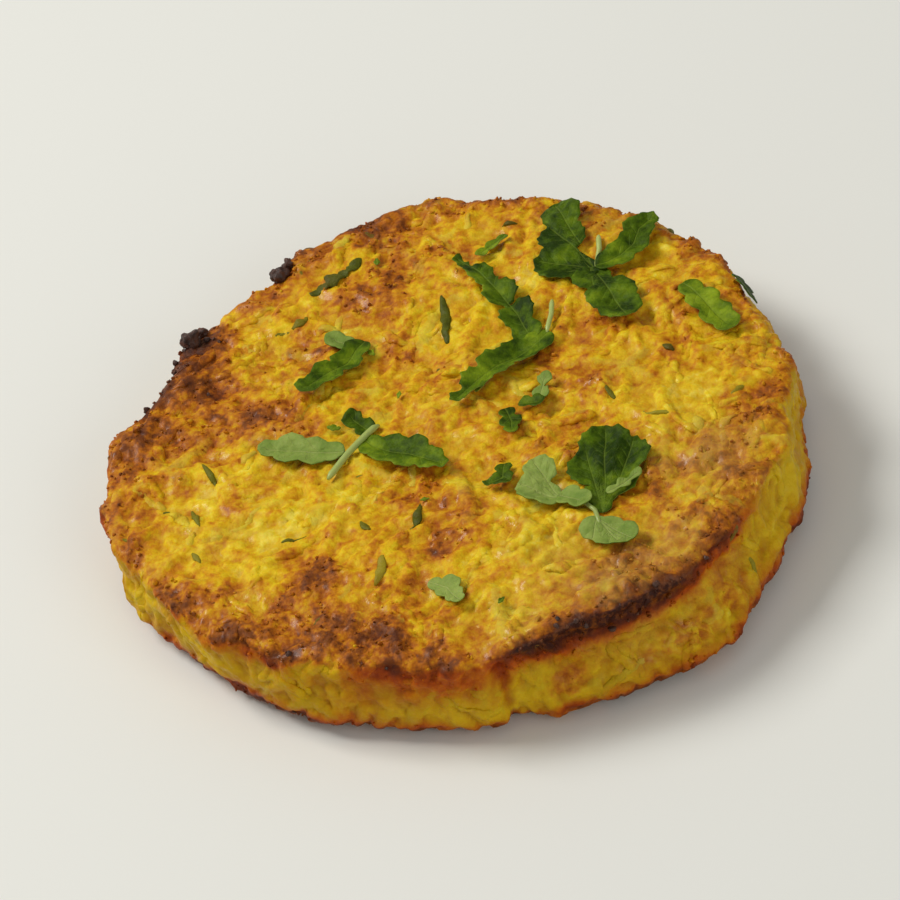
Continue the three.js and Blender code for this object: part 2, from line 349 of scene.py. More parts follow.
def layered(points, size, seed, layers=3):
    """Noise with finer and fainter noise on top."""
    return sum(noise(points, size / 2**k, seed + k) / 2**k for k in range(layers))


def cells(points, size, seed):
    """Distances to the nearest two of the dots scattered through space, in units of size."""
    scaled = points / size + 57.3
    base = np.floor(scaled).astype(np.int64)
    nearest = np.full((len(points), 2), 9.0)
    for offset in itertools.product((-1, 0, 1), repeat=3):
        cell = base + np.array(offset)
        dot = cell + np.stack([hashed(cell, seed + k) for k in range(3)], axis=1)
        distance = np.linalg.norm(dot - scaled, axis=1)
        nearest = np.sort(np.column_stack([nearest, distance]), axis=1)[:, :2]
    return nearest[:, 0], nearest[:, 1]


def bell(distance, half):
    """1 at the middle of a bell and nearly 0 beyond twice its half width."""
    return np.exp(-((distance / half) ** 2))


def smoothstep(low, high, value):
    """Rises smoothly from 0 at low to 1 at high, or falls where high is the smaller."""
    share = np.clip((value - low) / (high - low), 0, 1)
    return share * share * (3 - 2 * share)


def unit(vectors, least=1e-9):
    """The same directions, each of length 1."""
    return vectors / (np.linalg.norm(vectors, axis=1, keepdims=True) + least)


def some_of(places, count, rng):
    """That many of the places, picked at random."""
    return places[rng.integers(0, len(places), count)]


def vertex_vectors(mesh, field):
    found = np.empty(len(mesh.vertices) * 3, np.float32)
    mesh.vertices.foreach_get(field, found)
    return found.reshape(-1, 3).astype(float)


def points_of(mesh):
    return vertex_vectors(mesh, "co") / MM


def normals_of(mesh):
    return vertex_vectors(mesh, "normal")


def set_points(mesh, points):
    mesh.vertices.foreach_set("co", (points * MM).astype(np.float32).ravel())
    mesh.update()


def set_attributes(mesh, **fields):
    """Gives every vertex a value in each of the named fields."""
    for name, values in fields.items():
        attribute = mesh.attributes.new(name, "FLOAT", "POINT")
        attribute.data.foreach_set("value", np.asarray(values, np.float32))


def values_of(mesh, name):
    """One attribute's value at every vertex."""
    return np.array([vertex.value for vertex in mesh.attributes[name].data])


def placed(name, data):
    """A new object in the scene."""
    thing = bpy.data.objects.new(name, data)
    bpy.context.scene.collection.objects.link(thing)
    return thing


def tree_of(spots):
    """A search tree over single points."""
    tree = KDTree(len(spots))
    for index, spot in enumerate(spots):
        tree.insert(spot, index)
    tree.balance()
    return tree


def tree_over(mesh):
    """A search tree over a mesh, in millimetres."""
    corners = [tuple(point) for point in points_of(mesh)]
    return BVHTree.FromPolygons(corners, [tuple(face.vertices) for face in mesh.polygons])


def dropped(tree, x, y):
    """Where a ray that falls at x, y meets a surface, and the surface's normal there."""
    spot, normal, _, _ = tree.ray_cast(Vector((x, y, SKY)), Vector((0, 0, -1)))
    return spot, normal


class Heap:
    """Collects many small meshes that become one piece."""

    def __init__(self):
        self.points, self.faces, self.fields, self.count = [], [], {}, 0

    def add(self, points, faces, **fields):
        """Adds one mesh. A field has a value for each of its points, or one for all of them."""
        self.faces += [tuple(index + self.count for index in face) for face in faces]
        self.points.append(points)
        for name, values in fields.items():
            self.fields.setdefault(name, []).append(np.broadcast_to(values, len(points)))
        self.count += len(points)

    def piece(self, name):
        points = np.concatenate(self.points)
        points[:, 2] = np.maximum(points[:, 2], 0)
        mesh = bpy.data.meshes.new(name)
        mesh.from_pydata((points * MM).tolist(), [], self.faces)
        set_attributes(mesh, **{field: np.concatenate(parts) for field, parts in self.fields.items()})
        mesh.validate()
        mesh.update()
        mesh.shade_smooth()
        return placed(name, mesh)


# ---------------- the patty


def fine_copy(source, name):
    """An evenly divided, smoothed copy of a CAD solid."""
    piece = placed(name, source.data.copy())
    remesh = piece.modifiers.new("remesh", "REMESH")
    remesh.mode = "VOXEL"
    remesh.voxel_size = VOXEL * MM
    graph = bpy.context.evaluated_depsgraph_get()
    mesh = bpy.data.meshes.new_from_object(piece.evaluated_get(graph))
    piece.modifiers.clear()
    piece.data = mesh
    mesh.materials.clear()
    smooth_out(mesh)
    mesh.shade_smooth()
    return piece


def smooth_out(mesh):
    """Takes the facets and voxel steps off a mesh without shrinking it."""
    edges = np.empty(len(mesh.edges) * 2, np.int32)
    mesh.edges.foreach_get("vertices", edges)
    first, second = edges.reshape(-1, 2).T
    points = points_of(mesh)
    ends = np.concatenate([first, second])
    others = np.concatenate([second, first])
    neighbours = np.bincount(ends, minlength=len(points))[:, None]
    for pull in SMOOTHING:
        sums = [np.bincount(ends, points[others, k], len(points)) for k in range(3)]
        points = points + pull * (np.stack(sums, axis=1) / neighbours - points)
    set_points(mesh, points)


def most_by_direction(points, values, chosen):
    """The greatest value among the chosen points in each point's direction from the middle."""
    angle = np.arctan2(points[:, 1], points[:, 0])
    bins = ((angle + math.pi) / math.tau * RIM_BINS).astype(int) % RIM_BINS
    most = np.zeros(RIM_BINS)
    np.maximum.at(most, bins[chosen], values[chosen])
    middles = (np.arange(RIM_BINS) + 0.5) / RIM_BINS * math.tau - math.pi
    return np.interp(angle, middles, most, period=math.tau)


class Place:
    """Where points lie on the patty, measured from its rim and its edge."""

    def __init__(self, points):
        radius, height = np.hypot(points[:, 0], points[:, 1]), points[:, 2]
        rims = most_by_direction(points, radius, height > height.max() * RIM_SHARE)
        edges = most_by_direction(points, height, radius > rims - RIM_BAND)
        self.inset = rims - radius
        self.drop = edges - height
        self.level = height / edges
        self.angle = np.degrees(np.arctan2(points[:, 1], points[:, 0]))

    def off(self, angle):
        """How many degrees each point lies to either side of a direction."""
        return np.abs((self.angle - angle + 180) % 360 - 180)


def walk(tree, start, heading, steps, rng, wander=SHRED_WANDER):
    """A wandering path over a surface: its points and the surface's normals there."""
    spot, normal, _, _ = tree.find_nearest(start)
    points, normals = [spot], [normal]
    for _ in range(steps):
        heading = heading - normal * heading.dot(normal)
        side = normal.cross(heading)
        heading = (heading + side * rng.normal(0, wander)).normalized()
        spot, normal, _, _ = tree.find_nearest(spot + heading * SHRED_STEP)
        points.append(spot)
        normals.append(normal)
    return points, normals


def random_paths(tree, places, count, lengths, rng):
    """Paths that start at random ones of these places, in random directions."""
    for start in some_of(places, count, rng):
        steps = max(2, round(rng.uniform(*lengths) / SHRED_STEP))
        yield walk(tree, Vector(start), Vector(rng.normal(size=3)), steps, rng)


def shred_relief(points, paths, rng):
    """How high the shreds under the skin lift each point, and a number that differs by shred."""
    radii = rng.uniform(*SHRED_RADIUS, len(paths))
    levels = rng.uniform(*SHRED_LEVEL, len(paths))
    tones = rng.random(len(paths))
    owners = np.repeat(np.arange(len(paths)), [len(spots) for spots, _ in paths])
    tree = tree_of([spot for spots, _ in paths for spot in spots])
    lift, tone = np.zeros(len(points)), np.full(len(points), 0.5)
    for number, point in enumerate(points):
        for _, index, distance in tree.find_n(point, 5):
            owner = owners[index]
            room = radii[owner] ** 2 - distance**2
            if room > 0:
                rise = SHRED_RISE * math.sqrt(room) + levels[owner]
                if rise > lift[number]:
                    lift[number], tone[number] = rise, tones[owner]
    return lift, tone


def charred(points, place):
    """How much the charred stretches darken each point of the rim, and the wall under them."""
    wobble = noise(points, 3.5, 71) * 0.8 + noise(points, 1.3, 75) * 0.5
    rim, wall = np.zeros(len(points)), np.zeros(len(points))
    for at, half, inset, width, dark in CHARRED:
        off = place.off(at)
        rim += dark * bell(off, half) * bell(place.inset - inset + wobble, width)
        wall += dark * bell(off, half * 1.2) * (inset < 0.3)
    return rim * (0.8 + 0.6 * noise(points, 1.6, 73)) * smoothstep(3.4, 1.6, place.drop), wall


def patches(points, table):
    """How strongly round patches on the face, seen from above, show at each point."""
    total = np.zeros(len(points))
    for x, y, size, strength in table:
        total += strength * bell(np.hypot(points[:, 0] - x, points[:, 1] - y), size)
    return total


def side_patches_and_painted_light(place):
    """How much darker each point of the side is for the patches that it lies in: its browning, paler batter
    and painted light and shade.
    """
    total = np.zeros(len(place.level))
    for at, half, level, extent, dark in SIDE_PATCHES_AND_PAINTED_LIGHT:
        total += dark * bell(place.off(at), half) * bell(place.level - level, extent)
    return total


def split(place):
    """How deep the split in the side is at each point."""
    at, half, depth = SPLIT
    on_side = smoothstep(0.92, 0.70, place.level) * smoothstep(3.5, 1.5, place.inset)
    return depth * bell(place.off(at), half) * on_side


def browned_face(points, place, up, blotches, lift, grains):
    """How dark each point would be on the face, or underneath where it points down."""
    inset, half = RIM_RING
    ring = bell(place.inset - inset, half) * (0.12 + 0.06 * noise(points, 9, 23))
    spots = patches(points, SCORCHES) - patches(points, PALE_PATCHES)
    speckled = 0.9 + 0.42 * layered(points, 2.3, 29) + 0.2 * (grains - 0.3)
    beneath = UNDER_BROWN + 0.25 * noise(points, 12, 37)
    above = np.where(up > 0, spots * np.clip(speckled, 0.2, 1.6), beneath)
    brown = FACE_BROWN + blotches + ring + above + 0.10 * (lift - 0.25) + 0.06 * (grains - 0.3)
    # Where scorches overlap, the darkest browns are held back.
    return np.where(brown > 0.5, 0.5 + 0.55 * (brown - 0.5), brown)


def browned_side(points, place, blotches, char_above):
    """How dark each point would be on the side: browned at its heel and brow, paler between, with painted
    contact shadow in the heel's band.
    """
    level, half = HEEL
    heel = bell(place.level - level, half) * (0.42 + 0.25 * noise(points, 7, 41))
    brow = smoothstep(*BROW, place.level) * (0.16 + 0.9 * char_above + 0.14 * noise(points, 5, 43))
    down = smoothstep(0.9, 0.1, place.level)
    return SIDE_BROWN + 0.04 * down + 0.7 * blotches + heel + brow + side_patches_and_painted_light(place)


def browned(points, normals, place, lift, grains):
    """How dark each point is fried, from 0, soft and yellow, to 1, burnt."""
    up = normals[:, 2]
    blotches = layered(points, 7.0, 11, layers=2) * 0.11 + layered(points, 2.6, 17, layers=2) * 0.09
    char, char_above = charred(points, place)
    face = browned_face(points, place, up, blotches, lift, grains)
    side = browned_side(points, place, blotches, char_above)
    flat = smoothstep(0.30, 0.72, np.abs(up))
    return np.clip(flat * face + (1 - flat) * side + char * smoothstep(-0.25, 0.20, up), 0, 1)


def grained(points):
    """The grains of batter at each point, and the cracks between them."""
    near, next_near = cells(points, GRAIN_SPACING, 47)
    grains = np.clip(1 - near / 0.62, 0, 1) * smoothstep(-0.5, 0.4, noise(points, 5, 49))
    cracks = bell(next_near - near, 0.10) * smoothstep(-0.1, 0.6, noise(points, 7, 57))
    return grains, cracks


def relief(points, place, lift, grains, cracks):
    """How far each point of the skin stands out of the solid's surface."""
    hole_near, _ = cells(points, PIT_SPACING, 51)
    pits = bell(hole_near, 0.18) * (noise(points, 8, 53) > 0.45)
    crumb = 0.18 * layered(points, 1.5, 61) + 0.06 * noise(points, 0.8, 67)
    raised = SHRED_SHARE * lift + crumb + GRAIN_HEIGHT * grains
    return raised - CRACK_DEPTH * cracks - PIT_DEPTH * pits - split(place) - SKIN_SINK


def make_patty(solid, rng):
    piece = fine_copy(solid, "patty")
    mesh = piece.data
    points, normals = points_of(mesh), normals_of(mesh)
    paths = list(random_paths(tree_over(mesh), points, SHREDS, SHRED_LENGTH, rng))
    lift, tone = shred_relief(points, paths, rng)
    place = Place(points)
    grains, cracks = grained(points)
    rise = relief(points, place, lift, grains, cracks)
    rise = np.where(normals[:, 2] < UNDERSIDE, -np.abs(rise) * UNDERSIDE_SHARE, rise)
    moved = points + normals * rise[:, None]
    moved[:, 2] = np.maximum(moved[:, 2], 0)
    set_points(mesh, moved)
    brown = browned(points, normals, place, lift, grains)
    side = 1 - smoothstep(0.25, 0.75, np.abs(normals[:, 2]))
    dull = patches(points, DULL_PATCHES) * (normals[:, 2] > 0.2)
    set_attributes(mesh, brown=brown, tone=tone, lift=rise, side=side, dull=dull)
    return piece


class Crust:
    """Answers questions about the finished patty's surface."""

    def __init__(self, piece):
        mesh = piece.data
        self.points = points_of(mesh)
        self.tree = tree_over(mesh)
        self.values = {name: values_of(mesh, name) for name in ("brown", "side", "dull")}
        self.nearest = tree_of(self.points)
        up, brown = normals_of(mesh)[:, 2], self.values["brown"]
        self.visible = self.points[up > -0.2]
        self.crisp = self.points[(up > -0.2) & (brown > CRISP)]
        self.scorched = self.points[(up > 0.1) & (brown > SCORCHED)]
        self.face = self.points[(up > 0.6) & (np.hypot(*self.points.T[:2]) < FLECK_REACH)]

    def colour_like(self, mesh, more_brown=0.0):
        """Gives a mesh the browning of the crust beside it."""
        indices = [self.nearest.find(point)[1] for point in points_of(mesh)]
        near = {name: values[indices] for name, values in self.values.items()}
        near["brown"] = np.clip(near["brown"] + more_brown, 0.03, 1)
        set_attributes(mesh, **near)

    def beside(self, spot, radius, share):
        """The middle of a lump on the crust: how far it stands off is a share of its radius."""
        nearest, normal, _, _ = self.tree.find_nearest(Vector(spot))
        return np.array(nearest) + np.array(normal) * radius * share


class Cover:
    """A smooth sheet that just clears the crust and what lies on it, for leaves to lie on."""

    def __init__(self, trees):
        self.line = np.arange(-COVER_REACH, COVER_REACH + COVER_CELL, COVER_CELL)
        heights = np.array([[self.top(trees, x, y) for y in self.line] for x in self.line])
        heights[np.isnan(heights)] = np.nanmin(heights)
        for _ in range(COVER_SPREAD):
            heights = self.around(heights).max(axis=0)
        for _ in range(COVER_SMOOTHING):
            heights = self.around(heights).mean(axis=0)
        self.heights = heights

    @staticmethod
    def top(trees, x, y):
        """The height of the crust, the first tree, or of what lies on it, and nan beside it."""
        spot, normal = dropped(trees[0], x, y)
        if spot is None or normal.z <= 0.2:
            return np.nan
        spots = [dropped(tree, x, y)[0] for tree in trees]
        return max(spot.z for spot in spots if spot is not None)

    @staticmethod
    def around(grid):
        """The grid and its eight shifted neighbours, stacked."""
        padded = np.pad(grid, 1, mode="edge")
        rows, columns = grid.shape
        return np.stack([padded[i : i + rows, j : j + columns] for i in range(3) for j in range(3)])

    def at(self, places):
        """The sheet's height at each place."""
        steps = np.clip((places + COVER_REACH) / COVER_CELL, 0, len(self.line) - 1.001)
        low = steps.astype(int)
        i, j = low.T
        a, b = (steps - low).T
        near = self.heights[i, j] * (1 - b) + self.heights[i, j + 1] * b
        far = self.heights[i + 1, j] * (1 - b) + self.heights[i + 1, j + 1] * b
        return near * (1 - a) + far * a


# ---------------- strands, crumbs and lumps


def taper_of(points, ragged, pointed):
    """The share of a strand's size at each of its points: less at both ends, and uneven."""
    share = np.linspace(0, 1, len(points))
    from_end = np.minimum(share, 1 - share) * len(points)
    taper = np.clip(from_end / 2.5 / pointed + 0.25 / pointed, 0, 1) ** 0.6
    return taper * (1 + ragged * noise(points, 1.4, 97))


def tube_faces(rings):
    """The faces of a tube of that many rings of points, closed at both ends."""
    steps = [(side, (side + 1) % STRAND_SIDES) for side in range(STRAND_SIDES)]
    starts = range(0, (rings - 1) * STRAND_SIDES, STRAND_SIDES)
    walls = [(s + a, s + b, s + b + STRAND_SIDES, s + a + STRAND_SIDES) for s in starts for a, b in steps]
    last = rings * STRAND_SIDES
    return walls + [tuple(reversed(range(STRAND_SIDES))), tuple(range(last - STRAND_SIDES, last))]


def add_strand(heap, points, normals, width, thickness, sunk, ragged=0.35, pointed=1.0, **fields):
    """Adds a flattened strand that follows a path over a surface and tapers at both ends."""
    points = np.array([tuple(point) for point in points])
    normals = np.array([tuple(normal) for normal in normals])
    ahead = unit(np.gradient(points, axis=0))
    sides = unit(np.cross(normals, ahead))
    taper = taper_of(points, ragged, pointed)
    middle = points + normals * (thickness / 2 - sunk - (1 - taper) * thickness * 0.4)[:, None]
    turns = np.arange(STRAND_SIDES) / STRAND_SIDES * math.tau
    across = (np.cos(turns)[None, :] * (width / 2 * taper)[:, None])[:, :, None] * sides[:, None, :]
    rise = (np.sin(turns)[None, :] * (thickness / 2 * taper)[:, None])[:, :, None] * normals[:, None, :]
    skin = (middle[:, None, :] + across + rise).reshape(-1, 3)
    heap.add(skin, tube_faces(len(points)), **fields)


def make_shreds(crust, rng):
    heap = Heap()
    for path in random_paths(crust.tree, crust.visible, LOOSE_SHREDS, LOOSE_LENGTH, rng):
        width = rng.uniform(*LOOSE_WIDTH)
        thickness = width * rng.uniform(*LOOSE_FLATNESS)
        sunk = thickness * rng.uniform(*LOOSE_SUNK)
        add_strand(heap, *path, width, thickness, sunk, tone=rng.random(), lift=LOOSE_LIFT)
    piece = heap.piece("shreds")
    crust.colour_like(piece.data, 0.07 * noise(points_of(piece.data), 1.5, 81) - 0.01)
    return piece


def strip_path(crust, x0, y0, x1, y1, rng):
    """A path over the face from one place to another, nearly straight."""
    start, _ = dropped(crust.tree, x0, y0)
    way = dropped(crust.tree, x1, y1)[0] - start
    return walk(crust.tree, start, way, max(2, round(way.length / SHRED_STEP)), rng, wander=0.03)


def make_strips(crust, rng):
    heap = Heap()
    for x0, y0, x1, y1, width, green in SKIN_STRIPS:
        path = strip_path(crust, x0, y0, x1, y1, rng)
        add_strand(heap, *path, width, **STRIP_FORM, green=green)
    for path in random_paths(crust.tree, crust.visible, RANDOM_STRIPS, RANDOM_STRIP_LENGTH, rng):
        width, green = rng.uniform(*RANDOM_STRIP_WIDTH), rng.uniform(0.3, 0.9)
        add_strand(heap, *path, width, **RANDOM_STRIP_FORM, green=green)
    piece = heap.piece("skin_strips")
    crust.colour_like(piece.data)
    return piece


def ball(subdivisions):
    """The points and faces of a round ball of radius 1."""
    mesh = bpy.data.meshes.new("ball")
    shape = bmesh.new()
    bmesh.ops.create_icosphere(shape, subdivisions=subdivisions, radius=1)
    shape.to_mesh(mesh)
    shape.free()
    points = points_of(mesh) * MM
    faces = [tuple(face.vertices) for face in mesh.polygons]
    bpy.data.meshes.remove(mesh)
    return points, faces


def lump(points, radius, rng, rough=0.55, flat=(0.55, 0.95)):
    """A ball's points turned into an irregular lump, flattened to shares between two limits."""
    stretch = rng.uniform(*flat, 3) * radius
    turn = np.linalg.qr(rng.normal(size=(3, 3)))[0]
    shift = rng.uniform(0, 99, 3)
    bumpy = points * (1 + rough * layered(points + shift, 0.9, 91, 2))[:, None]
    return (bumpy * stretch) @ turn


def make_crumbs(crust, rng):
    heap = Heap()
    points, faces = ball(2)
    for spot in some_of(crust.crisp, CRUMBS, rng):
        radius = rng.uniform(*CRUMB_RADIUS) * rng.uniform(0.6, 1)
        middle = crust.beside(spot, radius, rng.uniform(*CRUMB_STAND))
        crumb = lump(points, radius, rng) + middle
        heap.add(crumb, faces, tone=rng.random(), extra=rng.normal(0.03, 0.05), lift=LOOSE_LIFT)
    piece = heap.piece("crumbs")
    crust.colour_like(piece.data, values_of(piece.data, "extra"))
    return piece


def make_burnt_lumps(crust, rng):
    heap = Heap()
    points, faces = ball(4)
    for x, y, radius in BURNT_LUMPS:
        middle = crust.beside((x, y, LUMP_LEVEL), radius, LUMP_STAND)
        heap.add(lump(points, radius, rng, 0.5, flat=(0.75, 1)) + middle, faces, burnt=rng.uniform(0.75, 1))
    points, faces = ball(3)
    for spot in some_of(crust.scorched, BURNT_CRUMBS, rng):
        radius = rng.uniform(*BURNT_RADIUS)
        middle = crust.beside(spot, radius, rng.uniform(*BURNT_STAND))
        heap.add(lump(points, radius, rng) + middle, faces, burnt=rng.uniform(0.55, 0.95))
    return heap.piece("burnt_lumps")


# ---------------- parsley


def outline_of(rounds):
    """The outer edge of a chain of overlapping rounds, anticlockwise."""
    rounds = np.array(rounds, float)
    weights = rounds[:, 2:] ** 2
    hub = (rounds[:, :2] * weights).sum(axis=0) / weights.sum()
    angles = np.arange(OUTLINE_RAYS) / OUTLINE_RAYS * math.tau
    rays = np.stack([np.cos(angles), np.sin(angles)], axis=1)
    reach = np.zeros(OUTLINE_RAYS)
    for x, y, radius in rounds:
        along = rays @ (np.array([x, y]) - hub)
        off = (x - hub[0]) ** 2 + (y - hub[1]) ** 2 - along**2
        chord = np.sqrt(np.clip(radius**2 - off, 0, None))
        reach = np.where(off < radius**2, np.maximum(reach, along + chord), reach)
    return hub + rays * np.maximum(reach, 0.3)[:, None]


def travelled(corners):
    """How far along a line of straight stretches each of its corners lies."""
    return np.concatenate([[0], np.cumsum(np.linalg.norm(np.diff(corners, axis=0), axis=1))])


def places_along(corners, distances):
    """The places at those distances along a line of straight stretches."""
    reached = travelled(corners)
    return np.stack([np.interp(distances, reached, corners[:, k]) for k in range(2)], axis=1)


def evenly(outline, step):
    """The same closed outline with its points at even steps."""
    closed = np.vstack([outline, outline[:1]])
    length = travelled(closed)[-1]
    count = max(8, round(length / step))
    return places_along(closed, np.arange(count) / count * length)


def sheet_noise(places, level, size, seed):
    """Noise over flat places, taken at that level of the noise."""
    return noise(np.column_stack([places, np.full(len(places), level)]), size, seed)


def toothed(outline, base, depth, rng):
    """The outline with teeth that point away from the base."""
    start = np.argmin(np.linalg.norm(outline - np.array(base), axis=1))
    outline = np.roll(outline, -start, axis=0)
    share = np.arange(len(outline)) / len(outline)
    teeth = max(2, round(len(outline) * LEAF_STEP / TOOTH_LENGTH / 2))
    from_base = np.minimum(share, 1 - share) * 2
    saw = (from_base * teeth + 0.15 * np.sin(share * 40 + rng.uniform(0, 6))) % 1
    tooth = (1 - np.sin(math.pi * saw**0.8)) * smoothstep(0.10, 0.32, from_base)
    ahead = np.roll(outline, -1, axis=0) - np.roll(outline, 1, axis=0)
    out = unit(np.stack([ahead[:, 1], -ahead[:, 0]], axis=1))
    wobble = OUTLINE_WOBBLE * sheet_noise(outline, 3.0, 1.6, 101)
    return outline + out * (depth * (tooth - 0.4) + wobble)[:, None]


def inside(outline, places):
    """Which places lie inside a closed outline."""
    x, y = places.T[:, :, None]
    ax, ay = outline.T
    bx, by = np.roll(outline, -1, axis=0).T
    spans = (ay[None] > y) != (by[None] > y)
    crossing = ax + (y - ay) / np.where(by == ay, 1e-9, by - ay) * (bx - ax)
    return ((x < crossing) & spans).sum(axis=1) % 2 == 1


def filled(outline):
    """The outline's area as flat triangles with points at even distances."""
    low, high = outline.min(axis=0), outline.max(axis=0)
    across, up = LEAF_STEP * 1.3, LEAF_STEP * 1.13  # about even-sided triangles
    xs, ys = np.arange(low[0], high[0], across), np.arange(low[1], high[1], up)
    grid = np.array([(x + (row % 2) * across / 2, y) for row, y in enumerate(ys) for x in xs])
    gaps = np.linalg.norm(grid[:, None] - outline[None], axis=2).min(axis=1)
    grid = grid[inside(outline, grid) & (gaps > LEAF_STEP * 0.7)]
    places = [Vector(place) for place in np.vstack([outline, grid])]
    around = [(index, (index + 1) % len(outline)) for index in range(len(outline))]
    found = delaunay_2d_cdt(places, around, [], 1, 1e-6)
    return np.array([tuple(place) for place in found[0]]), [tuple(face) for face in found[2]]


def main_veins(leaf):
    """The leaf's main veins as straight stretches: x0, y0, x1, y1."""
    base, rounds = np.array(leaf.base), np.array(leaf.rounds, float)
    if not leaf.fan:
        spine = [base, *rounds[:, :2]]
        return [(*a, *b) for a, b in zip(spine[:-1], spine[1:])]
    veins = []
    for x, y, radius in rounds:
        away = np.array([x, y]) - base
        away *= 1 + 0.75 * radius / (np.linalg.norm(away) + 1e-9)
        veins.append((*base, *(base + away)))
    return veins


def side_veins(mains):
    """The veins that leave the main ones on both sides, shorter towards their ends."""
    veins = []
    for x0, y0, x1, y1 in mains:
        length = math.hypot(x1 - x0, y1 - y0)
        heading = math.atan2(y1 - y0, x1 - x0)
        for k in range(1, int(length / SIDE_VEIN_GAP) + 1):
            share = k * SIDE_VEIN_GAP / length
            start = np.array([x0 + (x1 - x0) * share, y0 + (y1 - y0) * share])
            for turn in (heading + SIDE_VEIN_TURN, heading - SIDE_VEIN_TURN):
                reach = SIDE_VEIN_LENGTH * (1.1 - 0.5 * share)
                veins.append((*start, *(start + reach * np.array([math.cos(turn), math.sin(turn)]))))
    return veins


def signed_distance(places, stretches):
    """The distance to the nearest stretch, negative on its right."""
    best = np.full(len(places), 9.0)
    for x0, y0, x1, y1 in stretches:
        start, span = np.array([x0, y0]), np.array([x1 - x0, y1 - y0])
        share = np.clip(((places - start) @ span) / (span @ span + 1e-9), 0, 1)
        off = places - start - share[:, None] * span
        distance = np.linalg.norm(off, axis=1)
        sign = np.where(span[0] * off[:, 1] - span[1] * off[:, 0] < 0, -1, 1)
        best = np.where(distance < np.abs(best), distance * sign, best)
    return best


def sheet_normals(points, faces):
    """Vertex normals of a sheet of triangles."""
    triangles = np.array(faces)
    a, b, c = (points[triangles[:, k]] for k in range(3))
    normals = np.zeros_like(points)
    for k in range(3):
        np.add.at(normals, triangles[:, k], np.cross(b - a, c - a))
    return unit(normals, 1e-12)


def border(faces):
    """The edges that have a face on one side only, in that face's direction."""
    edges = {(face[k], face[(k + 1) % len(face)]) for face in faces for k in range(len(face))}
    return sorted(edge for edge in edges if edge[::-1] not in edges)


def thickened(middle, faces):
    """A flat sheet as a closed leaf: the points and faces of its upper side, lower side and edge."""
    out = sheet_normals(middle, faces) * LEAF_THICKNESS / 2
    count = len(middle)
    skin = faces + [tuple(index + count for index in reversed(face)) for face in faces]
    skin += [(b, a, a + count, b + count) for a, b in border(faces)]
    return np.vstack([middle + out, middle - out]), skin


def leaf_heights(leaf, places, vein, side_vein, rng):
    """How high a leaf stands above the sheet it lies on: cupped, waved and puffed between veins."""
    away = np.linalg.norm(places - np.array(leaf.base), axis=1)
    share = away / away.max()
    waves = LEAF_WAVE * sheet_noise(places, 9.0, 3.4, int(rng.integers(999)))
    puff = VEIN_PUFF * (1 - bell(np.minimum(np.abs(vein), np.abs(side_vein)), VEIN_WIDTH))
    heights = leaf.cup * np.abs(vein) * smoothstep(0, 0.4, share) + leaf.rise * share**2 + waves + puff
    return 0.5 * (heights + np.sqrt(heights**2 + DIP_SOFTNESS**2))


def add_leaf(heap, leaf, cover, rng):
    """Adds a piece of leaf that lies on the cover."""
    outline = evenly(outline_of(leaf.rounds), LEAF_STEP)
    places, faces = filled(toothed(outline, leaf.base, leaf.teeth, rng))
    mains = main_veins(leaf)
    vein, side_vein = signed_distance(places, mains), signed_distance(places, side_veins(mains))
    heights = leaf_heights(leaf, places, vein, side_vein, rng)
    middle = np.column_stack([places, heights + LEAF_GAP + leaf.lift + cover.at(places)])
    points, skin = thickened(middle, faces)
    under = np.repeat([1.0, 0.0] if leaf.under else [0.0, 1.0], len(middle))
    light = leaf.light + LEAF_MOTTLE * sheet_noise(places, 5.0, 2.5, 113)
    fields = {"vein": vein, "side_vein": side_vein, "light": light}
    heap.add(points, skin, under=under, **{name: np.tile(values, 2) for name, values in fields.items()})


def fleck(crust, rng):
    """A small scrap of leaf at a random place on the face."""
    x, y, _ = crust.face[rng.integers(0, len(crust.face))]
    turn = rng.uniform(0, math.tau)
    size = rng.uniform(*FLECK_SIZE)
    way = size * np.array([math.cos(turn), math.sin(turn)])
    middle = np.array([x, y])
    rounds = [(*(middle + way * step), size * wide) for step, wide in ((-1.2, 0.6), (0, 1), (1.3, 0.5))]
    return Leaf(tuple(middle - 2 * way), tuple(rounds), light=rng.uniform(0.2, 0.7), teeth=0.1, rise=0, cup=0)


def make_leaves(crust, cover, rng):
    heap = Heap()
    for leaf in LEAVES:
        add_leaf(heap, leaf, cover, rng)
    for _ in range(HERB_FLECKS):
        add_leaf(heap, fleck(crust, rng), cover, rng)
    return heap.piece("parsley_leaves")


def make_stalks(cover):
    heap = Heap()
    for corners, radius, light in STALKS:
        corners = np.array(corners)
        length = travelled(corners)[-1]
        places = places_along(corners, np.linspace(0, length, max(4, round(length / STALK_STEP))))
        points = np.column_stack([places, cover.at(places) + STALK_GAP])
        ups = np.tile([0.0, 0.0, 1.0], (len(points), 1))
        add_strand(heap, points, ups, radius * 2, radius * STALK_FLATNESS, STALK_SUNK, ragged=0, light=light)
    return heap.piece("parsley_stalks")


# ---------------- materials


